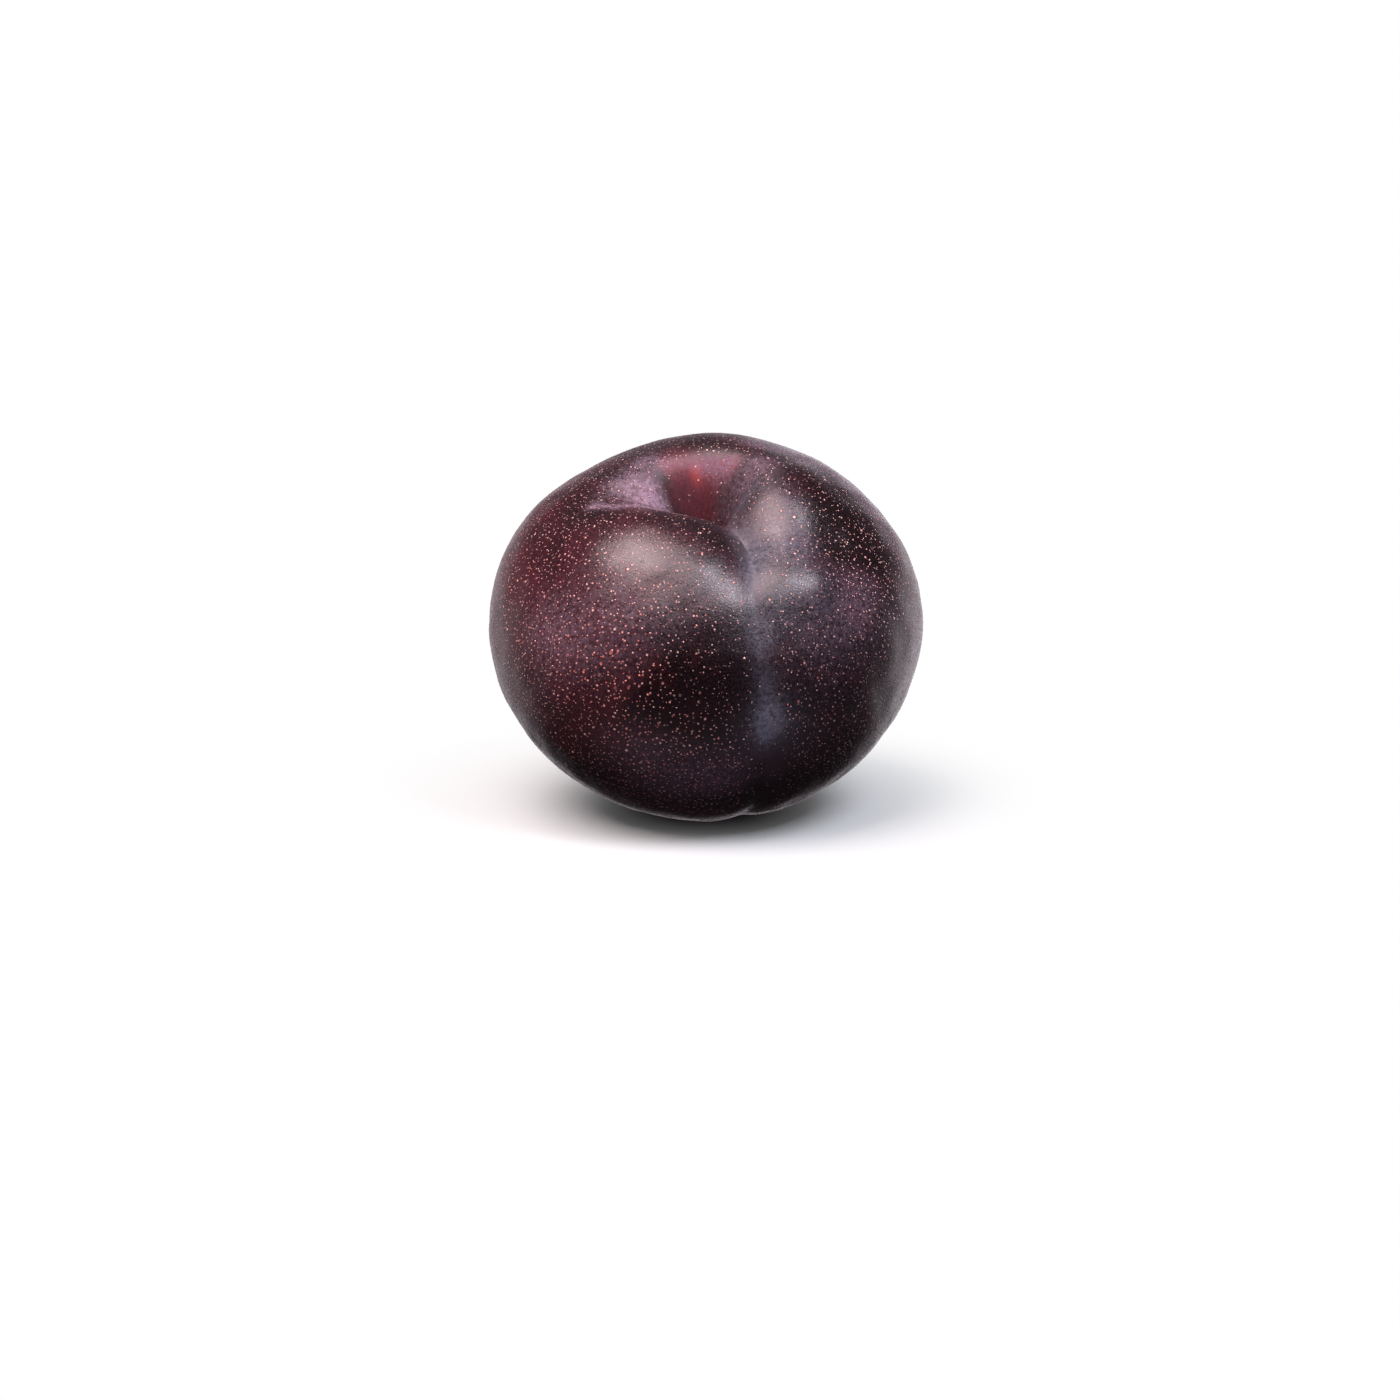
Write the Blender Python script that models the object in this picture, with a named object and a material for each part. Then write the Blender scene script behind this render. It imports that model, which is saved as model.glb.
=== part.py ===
"""A ripe pluot, picked without its stalk, lying on a small flat spot of its skin.

The fruit grew as one body, so it is one solid: an oval body with a funnel-shaped stem cavity at the top, a suture
that runs down one side as a cleft between two cheeks and fades to a shallow line, uneven shoulders round the cavity,
and a small dimple with a scar at the blossom end. It is shaped upright, with the stem axis along +Z, then leant
forward into the way it lies and pressed flat where it touches the ground.

Lengths are in millimetres and angles in degrees until the mesh is made, in metres, +Z up. A turn is an angle round
the stem axis, from the front (-Y) towards the right (+X). A polar angle is counted from the stem end.
"""

import bmesh
import bpy
import numpy as np

METRES_PER_MM = 0.001

# The whole fruit
WIDTH = 62.0
DEPTH = 61.0
HEIGHT = 52.4
SHOULDER_FULLNESS = 0.05
LEAN = 18.0
FLAT_SPOT_DEPTH = 0.7

# Stem cavity: a shallow dish, wider across the suture than along it, round a steep funnel
DISH_DEPTH = 6.2
DISH_LEFT = 12.5
DISH_RIGHT = 4.6
DISH_FRONT = 6.8
DISH_BACK = 4.4
DISH_POWER = 2.0
FUNNEL_DEPTH = 6.0
FUNNEL_RADIUS = 4.9
FUNNEL_POWER = 2.4
STEM_SCAR_RADIUS = 1.6
STEM_SCAR_HEIGHT = 0.3

# Suture: a deep notch where it leaves the cavity, steep on the left and gentle on the right, then a fine line
SUTURE_TURN = 16.0
SUTURE_CURL = 9.0
NOTCH_DEPTH = 3.8
NOTCH_LEFT_WIDTH = 3.8
NOTCH_RIGHT_WIDTH = 6.5
NOTCH_POLAR = 25.0
NOTCH_SPREAD_ABOVE = 19.0
NOTCH_SPREAD_BELOW = 11.0
NOTCH_POWER = 1.3
LINE_DEPTH = 0.55
LINE_HALF_WIDTH = 2.1
LINE_POWER = 1.6
SUTURE_START = 3.0

# Blossom end
BLOSSOM_DIMPLE_DEPTH = 0.8
BLOSSOM_DIMPLE_RADIUS = 3.0
BLOSSOM_SCAR_RADIUS = 0.8
BLOSSOM_SCAR_HEIGHT = 0.4
SCAR_POWER = 4.0

# Swellings and hollows of the flesh: turn, polar angle, spread and height
SWELLINGS = {
    "front left shoulder": (-34.0, 32.0, 23.0, 2.4),
    "beside the notch": (0.0, 20.0, 14.0, -1.2),
    "front right shoulder": (64.0, 22.0, 18.0, 2.2),
    "below the right shoulder": (56.0, 38.0, 10.0, -1.0),
    "back shoulder": (175.0, 36.0, 18.0, 0.9),
    "left shoulder": (-92.0, 50.0, 20.0, 0.4),
    "left saddle": (-118.0, 30.0, 15.0, -0.5),
    "right saddle": (118.0, 34.0, 14.0, 0.7),
    "lower right": (90.0, 112.0, 22.0, -0.5),
    "left cheek": (-14.0, 62.0, 20.0, 0.4),
    "right cheek": (40.0, 46.0, 9.0, 1.0),
}

# Mesh
COLUMNS = 80
ROWS = 56
COLUMN_CROWDING = 0.5
ROW_CROWDING = 0.42

SKIN_COLOUR = (0.045, 0.010, 0.016, 1.0)
SKIN_ROUGHNESS = 0.42


def clear_scene():
    for obj in list(bpy.data.objects):
        bpy.data.objects.remove(obj, do_unlink=True)


def notch_share(polar):
    """How much of the notch there is at a polar angle, from 0 to 1."""
    past = np.degrees(polar) - NOTCH_POLAR
    return np.exp(-((past / np.where(past < 0.0, NOTCH_SPREAD_ABOVE, NOTCH_SPREAD_BELOW)) ** 2))


def suture_turn(polar):
    """The turn at which the suture runs, in radians: straight down the fruit, with a curl to the right at the notch."""
    return np.radians(SUTURE_TURN + SUTURE_CURL * notch_share(polar))


def direction(turn, polar):
    """Unit vectors that point from the middle of the fruit at a turn and a polar angle, both in radians."""
    return np.stack([np.sin(polar) * np.sin(turn), -np.sin(polar) * np.cos(turn), np.cos(polar)], axis=-1)


def swelling_height(turn, polar):
    """How far the flesh stands out at a place, in millimetres, for all the swellings together."""
    height = np.zeros_like(turn)
    place = direction(turn, polar)
    for middle_turn, middle_polar, spread, peak in SWELLINGS.values():
        middle = direction(np.radians(middle_turn), np.radians(middle_polar))
        away = np.arccos(np.clip(place @ middle, -1.0, 1.0))
        height += peak * np.exp(-((away / np.radians(spread)) ** 2))
    return height


def suture_depth(turn, polar):
    """How far the skin is drawn in along the suture, in millimetres."""
    around = np.angle(np.exp(1j * (turn - suture_turn(polar))))
    across = WIDTH / 2 * np.sin(polar) * around
    notch_width = np.where(across < 0.0, NOTCH_LEFT_WIDTH, NOTCH_RIGHT_WIDTH)
    notch = NOTCH_DEPTH * notch_share(polar) * np.exp(-((np.abs(across) / notch_width) ** NOTCH_POWER))
    line = LINE_DEPTH * np.exp(-((np.abs(across) / LINE_HALF_WIDTH) ** LINE_POWER))
    ahead = np.clip(np.cos(around), 0.0, 1.0)
    begun = 1.0 - np.exp(-((WIDTH / 2 * np.sin(polar) / SUTURE_START) ** 2))
    return begun * ahead * (notch + line)


def fruit_points(turn, polar):
    """Points of the skin of the upright fruit, in millimetres from its middle."""
    radius = np.sin(polar) * (1.0 + SHOULDER_FULLNESS * np.cos(polar))
    oval = np.stack(
        [WIDTH / 2 * radius * np.sin(turn), -DEPTH / 2 * radius * np.cos(turn), HEIGHT / 2 * np.cos(polar)], axis=-1
    )
    out = swelling_height(turn, polar) - suture_depth(turn, polar)
    points = oval + out[..., None] * direction(turn, polar)
    ahead = direction(np.radians(SUTURE_TURN), np.pi / 2)
    along = points[..., 0] * ahead[0] + points[..., 1] * ahead[1]
    across = points[..., 1] * ahead[0] - points[..., 0] * ahead[1]
    from_axis = np.hypot(along, across)
    dish_width = np.where(across < 0.0, DISH_LEFT, DISH_RIGHT)
    dish_length = np.where(along < 0.0, DISH_BACK, DISH_FRONT)
    dish_share = np.hypot(along / dish_length, across / dish_width)
    upper = polar < np.pi / 2
    cavity = DISH_DEPTH * np.exp(-(dish_share**DISH_POWER))
    cavity += FUNNEL_DEPTH * np.exp(-((from_axis / FUNNEL_RADIUS) ** FUNNEL_POWER))
    cavity -= STEM_SCAR_HEIGHT * np.exp(-((from_axis / STEM_SCAR_RADIUS) ** SCAR_POWER))
    dimple = BLOSSOM_DIMPLE_DEPTH * np.exp(-((from_axis / BLOSSOM_DIMPLE_RADIUS) ** 2))
    dimple -= BLOSSOM_SCAR_HEIGHT * np.exp(-((from_axis / BLOSSOM_SCAR_RADIUS) ** SCAR_POWER))
    points[..., 2] += np.where(upper, -cavity, dimple)
    return points


def leant(points):
    """The points after the fruit leans forward, its stem end towards -Y."""
    angle = np.radians(LEAN)
    x, y, z = np.moveaxis(points, -1, 0)
    return np.stack([x, y * np.cos(angle) - z * np.sin(angle), y * np.sin(angle) + z * np.cos(angle)], axis=-1)


def set_down(points):
    """The points after the fruit is pressed flat underneath and set on z = 0, its outline centred on the origin."""
    ground = points[:, 2].min() + FLAT_SPOT_DEPTH
    points[:, 2] = np.maximum(points[:, 2], ground) - ground
    middle = (points[:, :2].max(axis=0) + points[:, :2].min(axis=0)) / 2
    points[:, :2] -= middle
    return points


def skin_material():
    material = bpy.data.materials.new("pluot_skin")
    material.use_nodes = True
    shader = material.node_tree.nodes["Principled BSDF"]
    shader.inputs["Base Color"].default_value = SKIN_COLOUR
    shader.inputs["Roughness"].default_value = SKIN_ROUGHNESS
    shader.inputs["Metallic"].default_value = 0.0
    return material


def shape_ball(ball):
    """Moves the points of a ball of radius 1 to the skin of the fruit, the ball's +X side to the suture.

    The ball's columns are drawn together at the suture and its rows at both ends, where the skin bends most.
    """
    x, y, z = np.array([vertex.co for vertex in ball.verts], dtype=float).T
    around = np.arctan2(y, x)
    around -= COLUMN_CROWDING * np.sin(around)
    polar = np.arccos(np.clip(z, -1.0, 1.0))
    polar -= ROW_CROWDING * np.sin(2 * polar) / 2
    points = set_down(leant(fruit_points(suture_turn(polar) + around, polar)))
    for vertex, point in zip(ball.verts, points * METRES_PER_MM):
        vertex.co = point


def build_pluot():
    ball = bmesh.new()
    bmesh.ops.create_uvsphere(ball, u_segments=COLUMNS, v_segments=ROWS, radius=1.0)
    shape_ball(ball)
    mesh = bpy.data.meshes.new("pluot")
    ball.to_mesh(mesh)
    ball.free()
    mesh.shade_smooth()
    mesh.materials.append(skin_material())
    pluot = bpy.data.objects.new("pluot", mesh)
    bpy.context.scene.collection.objects.link(pluot)
    return pluot


clear_scene()
build_pluot()
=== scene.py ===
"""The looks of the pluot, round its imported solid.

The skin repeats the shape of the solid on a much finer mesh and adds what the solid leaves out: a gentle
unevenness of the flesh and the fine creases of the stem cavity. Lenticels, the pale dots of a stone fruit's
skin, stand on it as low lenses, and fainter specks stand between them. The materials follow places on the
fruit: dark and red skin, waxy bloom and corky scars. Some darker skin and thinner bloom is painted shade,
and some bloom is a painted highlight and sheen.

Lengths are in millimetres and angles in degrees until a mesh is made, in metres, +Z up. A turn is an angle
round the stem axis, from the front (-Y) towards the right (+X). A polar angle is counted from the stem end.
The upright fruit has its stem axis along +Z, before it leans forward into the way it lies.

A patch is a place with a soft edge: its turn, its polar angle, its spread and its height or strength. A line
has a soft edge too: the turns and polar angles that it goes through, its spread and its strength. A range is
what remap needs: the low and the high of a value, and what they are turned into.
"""

from collections import namedtuple

import bmesh
import bpy
import numpy as np
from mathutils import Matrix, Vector
from mathutils.kdtree import KDTree


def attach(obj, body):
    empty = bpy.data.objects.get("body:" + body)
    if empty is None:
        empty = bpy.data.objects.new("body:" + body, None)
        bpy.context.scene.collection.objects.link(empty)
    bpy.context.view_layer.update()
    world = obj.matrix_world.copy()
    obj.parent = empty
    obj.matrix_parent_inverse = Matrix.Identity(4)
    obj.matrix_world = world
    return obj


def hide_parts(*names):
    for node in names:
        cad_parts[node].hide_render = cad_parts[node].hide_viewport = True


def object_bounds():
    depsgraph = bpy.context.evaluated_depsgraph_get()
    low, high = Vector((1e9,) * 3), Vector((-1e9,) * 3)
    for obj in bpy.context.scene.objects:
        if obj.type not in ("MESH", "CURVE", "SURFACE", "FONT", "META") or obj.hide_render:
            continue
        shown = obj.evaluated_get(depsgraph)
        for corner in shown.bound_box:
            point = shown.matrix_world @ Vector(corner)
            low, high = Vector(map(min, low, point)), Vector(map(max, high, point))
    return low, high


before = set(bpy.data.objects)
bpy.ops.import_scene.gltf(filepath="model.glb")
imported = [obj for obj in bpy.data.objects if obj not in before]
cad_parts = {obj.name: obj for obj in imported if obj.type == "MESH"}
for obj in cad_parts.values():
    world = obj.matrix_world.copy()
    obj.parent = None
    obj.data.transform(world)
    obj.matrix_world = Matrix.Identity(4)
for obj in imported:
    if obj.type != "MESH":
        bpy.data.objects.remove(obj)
cad_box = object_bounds()

METRES_PER_MM = 0.001

# The whole fruit
WIDTH = 62.0
DEPTH = 61.0
HEIGHT = 52.4
SHOULDER_FULLNESS = 0.05
LEAN = 18.0
FLAT_SPOT_DEPTH = 0.7

# Stem cavity: a shallow dish, wider across the suture than along it, round a steep funnel
DISH_DEPTH = 6.2
DISH_LEFT = 12.5
DISH_RIGHT = 4.6
DISH_FRONT = 6.8
DISH_BACK = 4.4
DISH_POWER = 2.0
FUNNEL_DEPTH = 6.0
FUNNEL_RADIUS = 4.9
FUNNEL_POWER = 2.4
STEM_SCAR_RADIUS = 1.6
STEM_SCAR_HEIGHT = 0.3

# Suture: a deep notch at the cavity, steep on the left and gentle on the right, then a fine line
SUTURE_TURN = 16.0
SUTURE_CURL = 9.0
NOTCH_DEPTH = 3.8
NOTCH_LEFT_WIDTH = 3.8
NOTCH_RIGHT_WIDTH = 6.5
NOTCH_POLAR = 25.0
NOTCH_SPREAD_ABOVE = 19.0
NOTCH_SPREAD_BELOW = 11.0
NOTCH_POWER = 1.3
LINE_DEPTH = 0.55
LINE_HALF_WIDTH = 2.1
LINE_POWER = 1.6
SUTURE_START = 3.0

# Blossom end
BLOSSOM_DIMPLE_DEPTH = 0.8
BLOSSOM_DIMPLE_RADIUS = 3.0
BLOSSOM_SCAR_RADIUS = 0.8
BLOSSOM_SCAR_HEIGHT = 0.4
SCAR_POWER = 4.0

# Swellings and hollows of the flesh, as patches with heights
SWELLINGS = {
    "front left shoulder": (-34.0, 32.0, 23.0, 2.4),
    "beside the notch": (0.0, 20.0, 14.0, -1.2),
    "front right shoulder": (64.0, 22.0, 18.0, 2.2),
    "below the right shoulder": (56.0, 38.0, 10.0, -1.0),
    "back shoulder": (175.0, 36.0, 18.0, 0.9),
    "left shoulder": (-92.0, 50.0, 20.0, 0.4),
    "left saddle": (-118.0, 30.0, 15.0, -0.5),
    "right saddle": (118.0, 34.0, 14.0, 0.7),
    "lower right": (90.0, 112.0, 22.0, -0.5),
    "left cheek": (-14.0, 62.0, 20.0, 0.4),
    "right cheek": (40.0, 46.0, 9.0, 1.0),
}

# Unevenness of the flesh: shallow waves, all of them below the solid's surface
WAVE_COUNT = 40
WAVE_DEPTH = 0.15
WAVE_LENGTH_LEAST = 4.0
WAVE_LENGTH_MOST = 12.0
WAVE_SEED = 11

# Creases that run down the wall of the stem cavity: how many go round, how deep they are and where
CREASE_COUNTS = (17, 29, 43)
CREASE_DEPTH = 0.1
CREASE_RADIUS = 4.6
CREASE_SHARPNESS = 2.0

# Skin mesh
COLUMNS = 384
ROWS = 256
COLUMN_CROWDING = 0.5
ROW_CROWDING = 0.42

# Bloom, the waxy film, is thick or thin in these patches. Where it is thinner on the shaded front and right
# of the right shoulder, that is painted shade, and the patches low in front are partly bloom and partly a
# painted sheen of reflected light.
BLOOM_SHADE_AND_SHEEN = {
    "left wall of the cavity": (-86.0, 13.5, 4.5, 1.0),
    "floor of the cavity": (-135.0, 8.5, 4.5, -0.5),
    "left end of the cavity": (-92.0, 20.0, 6.0, 0.3),
    "top left of the cavity": (-125.0, 19.0, 5.0, 0.25),
    "right wall of the cavity": (105.0, 11.0, 6.0, 0.3),
    "foot of the right wall": (52.0, 22.0, 7.0, 0.15),
    "right of the notch": (37.0, 25.0, 5.0, 0.1),
    "below the right shoulder": (44.0, 34.0, 6.0, 0.1),
    "left of the front": (-31.0, 61.0, 14.0, 0.12),
    "left of the lobe": (-47.0, 67.0, 12.0, 0.24),
    # These two are partly bloom and partly a painted sheen of reflected light
    "low in the middle": (-8.0, 103.0, 10.0, 0.5),
    "beside the lower suture": (3.0, 101.5, 7.5, 0.6),
    "right of the right cheek": (52.0, 56.0, 9.0, 0.18),
    # Painted shade: less bloom darkens the skin right of the right shoulder, where it lies in shade
    "right of the right shoulder": (76.0, 40.0, 10.0, -0.2),
    "left cheek": (-20.0, 46.0, 14.0, 0.12),
    "middle of the right cheek": (38.0, 64.0, 13.0, 0.10),
    # Partly bloom and partly a painted sheen of reflected light
    "low in front": (-17.0, 96.0, 10.0, 0.26),
    "low on the left": (-52.0, 92.0, 12.0, 0.1),
    "right flank": (75.0, 75.0, 12.0, 0.08),
    # Painted shade: less bloom darkens the front where it lies in shade
    "shaded front": (-4.0, 72.0, 11.0, -0.15),
    "back": (-160.0, 70.0, 30.0, 0.15),
    "low at the back": (120.0, 110.0, 35.0, 0.15),
}
THIN_BLOOM = 0.015

# Bloom along lines. The line on the ridge at the back is a painted highlight, and the line at the lip of the
# cavity is partly bloom and partly a painted sheen along its edge.
LIP_BLOOM_AND_SHEEN = ((-76.0, 29.0), (-67.0, 24.0), (-64.0, 17.0), (-52.0, 12.5), (-26.0, 15.0))
BACK_WALL = ((-128.0, 14.0), (-145.0, 11.8), (-165.0, 10.8), (178.0, 10.6), (150.0, 11.0))
BACK_RIDGE_SHEEN = ((148.0, 21.5), (131.0, 25.0), (122.0, 29.5), (111.0, 35.5), (101.0, 43.0), (88.0, 55.0))
BLOOM_AND_SHEEN_LINES = {
    "bloom and sheen at the lip of the cavity": (LIP_BLOOM_AND_SHEEN, 1.8, 0.45),
    "back wall of the cavity": (BACK_WALL, 2.0, 0.4),
    "painted sheen on the ridge at the back": (BACK_RIDGE_SHEEN, 2.8, 0.2),
}

# Slate-coloured bloom, a band along the suture of which a share is left further off
SLATE_BLOOM = {
    "right wall of the cavity": (58.0, 10.0, 4.5, 0.9),
    "top of the notch": (26.0, 19.0, 5.0, 0.18),
    "notch": (18.0, 38.0, 7.0, 0.3),
    "upper suture": (15.0, 57.0, 6.0, 0.3),
    "middle of the suture": (16.0, 70.0, 6.0, 0.18),
    "lower suture": (16.5, 85.0, 8.0, 1.2),
    "end of the suture": (12.0, 103.0, 6.0, 0.1),
    "right cheek": (33.0, 50.0, 10.0, 0.6),
    "top of the right cheek": (38.0, 33.0, 7.0, 0.9),
    "right of the notch": (40.0, 24.0, 6.0, 0.2),
}
SLATE_HALF_WIDTH = 1.9
SLATE_OFF_SUTURE = 0.25

# The walls of the stem cavity are matt between these radii
HOLLOW_RADIUS = 11.5
CAVITY_FLOOR_RADIUS = 3.6

# Where the skin is redder than its dark ground, and where it is darker as painted shade
REDNESS_AND_SHADE = {
    "left flank": (-72.0, 58.0, 21.0, 0.6),
    "left below": (-42.0, 88.0, 26.0, 0.55),
    "left front": (-34.0, 60.0, 18.0, 0.25),
    "under the lip": (-40.0, 24.0, 9.0, 0.15),
    "underneath": (-20.0, 125.0, 32.0, 0.3),
    "cavity": (-150.0, 10.0, 7.0, 0.65),
    # Painted shade: darker skin on the crest behind the cavity
    "shaded crest behind the cavity": (-170.0, 19.0, 6.0, -0.3),
    # Painted shade: darker skin on the right shoulder
    "right shoulder": (72.0, 38.0, 12.0, -0.3),
    "floor of the cavity": (-150.0, 7.0, 7.0, 0.45),
    "back left": (-130.0, 85.0, 35.0, 0.55),
    "back right": (140.0, 95.0, 38.0, 0.5),
    # Painted shade: darker skin on the front where it lies in shade
    "shaded front": (2.0, 70.0, 16.0, -0.3),
}
REDNESS_EVERYWHERE = 0.16

# The red flush inside the stem cavity, and its brightest spot
FLUSHED_WALL = ((-132.0, 12.5), (-150.0, 11.0), (-170.0, 10.2), (168.0, 10.2), (145.0, 11.0))
FLUSHED_FLOOR = ((-125.0, 8.0), (-150.0, 6.5), (175.0, 6.0))
FLUSH_LINES = {
    "back wall": (FLUSHED_WALL, 2.4, 0.75),
    "floor": (FLUSHED_FLOOR, 3.0, 0.28),
}
FLUSH_SPOT = {"brightest spot": (-165.0, 9.4, 1.9, 0.7)}

# Colours of the skin
DARK_SKIN = (0.0052, 0.0018, 0.0027, 1.0)
RED_SKIN = (0.040, 0.0062, 0.0100, 1.0)
FLUSH_COLOUR = (0.115, 0.014, 0.026, 1.0)
FLUSH_SPOT_COLOUR = (0.24, 0.034, 0.034, 1.0)
BLOOM_AND_SHEEN_COLOUR = (0.165, 0.115, 0.160, 1.0)
SLATE_BLOOM_COLOUR = (0.125, 0.135, 0.180, 1.0)
SCAR_COLOUR = (0.115, 0.062, 0.035, 1.0)

# Noises of the skin: grains for each millimetre, detail and roughness, and how the streaks are drawn out
STREAKS = (2.6, 3.0, 0.55)
PATCHES = (0.16, 2.0, 0.55)
GRANULES = (1.5, 4.0, 0.65)
FINE_GRAIN = (4.2, 2.0, 0.6)
STREAK_STRETCH = (1.0, 1.0, 0.14)

# Ranges of what the noises and the film of bloom do to the skin's colour
REDNESS_BY_PATCHES = (0.3, 0.7, -0.22, 0.22)
REDNESS_BY_STREAKS = (0.3, 0.7, -0.16, 0.16)
FLUSH_BY_STREAKS = (0.3, 0.7, 0.6, 1.25)
BLOOM_BY_GRANULES = (0.3, 0.7, 0.25, 1.7)
BLOOM_BY_STREAKS = (0.2, 0.8, 0.7, 1.3)
DUST_BY_FILM = (0.0, 0.3, 0.03, 0.32)
DUST_BY_FINE_GRAIN = (0.46, 0.68, 0.0, 1.0)
SLATE_BY_FINE_GRAIN = (0.3, 0.7, 0.6, 1.4)
SLATE_BY_GRANULES = (0.3, 0.7, 0.5, 1.5)

# Ranges of the skin's roughness, its gloss and the grain of its bump
ROUGHNESS_BY_BLOOM = (0.0, 0.5, 0.30, 0.60)
ROUGHNESS_BY_FINE_GRAIN = (0.25, 0.75, -0.12, 0.12)
ROUGHNESS_BY_HOLLOW = (0.0, 1.0, 0.0, 0.22)
SKIN_IOR = 1.46
BUMP_HEIGHT = 0.07
BUMP_BY_GRANULES = 0.4
BUMP_BY_FINE_GRAIN = 0.6

# The dots, lenticels and specks, stand in different numbers, sizes and strengths: patches for all of them
LARGE_DOTS = {
    "front": (-26.0, 66.0, 12.0, 0.45),
    "left": (-42.0, 55.0, 24.0, 0.1),
    "low in front": (-10.0, 104.0, 20.0, 0.45),
}
CORAL_DOTS = {
    "front": (-25.0, 67.0, 17.0, 0.55),
    "left": (-50.0, 60.0, 36.0, 0.25),
    "underneath": (-20.0, 110.0, 32.0, 0.15),
}
STRONG_DOTS = {
    "low in front": (-10.0, 106.0, 24.0, 0.75),
    "low on the left": (-60.0, 98.0, 24.0, 0.5),
    "left": (-65.0, 58.0, 20.0, 0.2),
    "left shoulder": (-35.0, 42.0, 14.0, 0.16),
    "right": (66.0, 52.0, 16.0, 0.4),
    "shaded front": (0.0, 70.0, 13.0, -0.3),
    "below the right cheek": (42.0, 78.0, 20.0, -0.12),
}
MISSING_DOTS = {
    "shaded front": (2.0, 68.0, 12.0, 0.5),
    "right cheek": (38.0, 66.0, 12.0, 0.3),
    "cavity": (-150.0, 7.0, 8.0, 0.7),
}
MISSING_AT_SUTURE = 0.85
SUTURE_REACH = 3.0

# Kinds of dots. Jitter is a share of their spacing, and each ring is a share of the radius and a height.
DotKind = namedtuple(
    "DotKind", "count jitter seed radius variety sides rings top strength strength_variety least_strength"
)
LENTICELS = DotKind(
    count=6600,
    jitter=0.6,
    seed=5,
    radius=0.205,
    variety=0.24,
    sides=7,
    rings=((0.5, 0.016), (1.0, -0.012)),
    top=0.022,
    strength=0.46,
    strength_variety=0.24,
    least_strength=0.12,
)
SPECKS = DotKind(
    count=16000,
    jitter=0.5,
    seed=6,
    radius=0.15,
    variety=0.25,
    sides=6,
    rings=((1.0, -0.010),),
    top=0.014,
    strength=0.42,
    strength_variety=0.22,
    least_strength=0.06,
)
CORAL_SHARE = 0.05
CORAL_VARIETY = 0.28

# Golden angle in half turns, which spreads the dots evenly
GOLDEN_HALF_TURNS = 3.0 - np.sqrt(5.0)

# Lenses: how far their undersides reach into the skin, and how far they stay from other things
LENS_BOTTOM = -0.05
LENS_GAP = 0.02
POLE_CLEARANCE = 3.5
SUTURE_CLEARANCE = 0.45
CLEAR_OF_GROUND = 0.25

# Step, in radians, over which the slopes of the skin are taken
SLOPE_STEP = 1e-4

# A lens has a cell of the texture square: radius and middle of its dome there, and of its underside
DOME_IN_CELL = (0.38, 0.52)
UNDERSIDE_IN_CELL = (0.06, 0.08)

# Looks of the dots: a core and, round a lenticel, a ring. A distance is a share of the dot's radius.
PALE_DOT = (0.68, 0.47, 0.45, 1.0)
CORAL_DOT = (0.82, 0.25, 0.20, 1.0)
HALO_COLOUR = (0.050, 0.0075, 0.0085, 1.0)
LENTICEL_CORE_BY_DISTANCE = (0.2, 0.66, 1.0, 0.0)
LENTICEL_RING_BY_DISTANCE = (0.7, 1.0, 0.75, 0.0)
SPECK_CORE_BY_DISTANCE = (0.3, 0.95, 1.0, 0.0)
ROUGHNESS_BY_CORE = (0.0, 1.0, 0.3, 0.62)
LENTICEL_IOR = 1.40
SPECK_IOR = 1.42

# Camera, as far from the fruit as it was photographed from, with the fruit above the middle of the picture
CAMERA_ELEVATION = 14.0
CAMERA_DISTANCE = 0.555
CAMERA_LENS = 100.0
SENSOR_WIDTH = 36.0
PICTURE_WIDTH = 1400
FRUIT_PIXEL = (706, 626)

# Soft boxes: the way to them (right, up, towards the camera), distance and size in metres, watts and colour
SOFT_BOXES = {
    "warm key": ((-0.33, 0.79, 0.52), 0.60, 0.46, 9.6, (1.0, 0.77, 0.76)),
    "cool window": ((0.46, 0.66, 0.60), 0.60, 0.24, 3.8, (0.96, 0.89, 1.0)),
    "behind": ((0.24, 0.38, -0.89), 0.60, 0.20, 0.12, (0.93, 0.86, 1.0)),
}

# Studio round the fruit, and the ranges of its parts by the X, Y and Z of the way to them
WHITE = (1.0, 1.0, 1.0, 1.0)
STUDIO_FRONT = (0.020, 0.018, 0.020, 1.0)
STUDIO_BACK = (0.25, 0.21, 0.24, 1.0)
STUDIO_TABLE = (1.5, 1.35, 1.46, 1.0)
STUDIO_FLOOR = (0.27, 0.19, 0.24, 1.0)
LIT_BY_Z = (-0.56, -0.38, 0.0, 1.0)
BACK_BY_Y = (0.55, 0.95, 0.0, 1.0)
BACK_BY_Z = (0.1, 0.4, 1.0, 0.2)
TABLE_BY_Y = (0.15, 0.7, 0.0, 1.0)
TABLE_BY_Z = (-0.05, 0.14, 1.0, 0.0)
TABLE_BY_X = (-0.4, 0.7, 0.5, 1.0)
FLOOR_BY_Z = (-0.8, -0.3, 1.0, 0.0)
FLOOR_BY_Y = (-0.3, 0.3, 1.0, 0.0)

# Paper under the fruit, in metres: it goes over into white between two distances from the fruit's middle
PAPER_RADIUS = 1.5
PAPER_SEGMENTS = 96
PAPER_COLOUR = (0.47, 0.54, 0.55, 1.0)
PAPER_ROUGHNESS = 0.8
WHITE_BY_DISTANCE = (0.006, 0.058, 0.0, 1.0)

# Numbers of the Mix node's sockets for colours
MIX_SHARE, MIX_FIRST, MIX_SECOND, MIX_RESULT = 0, 6, 7, 2


def direction(turn, polar):
    """Unit vectors that point from the middle of the fruit at a turn and a polar angle, both in radians."""
    return np.stack([np.sin(polar) * np.sin(turn), -np.sin(polar) * np.cos(turn), np.cos(polar)], axis=-1)


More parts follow.
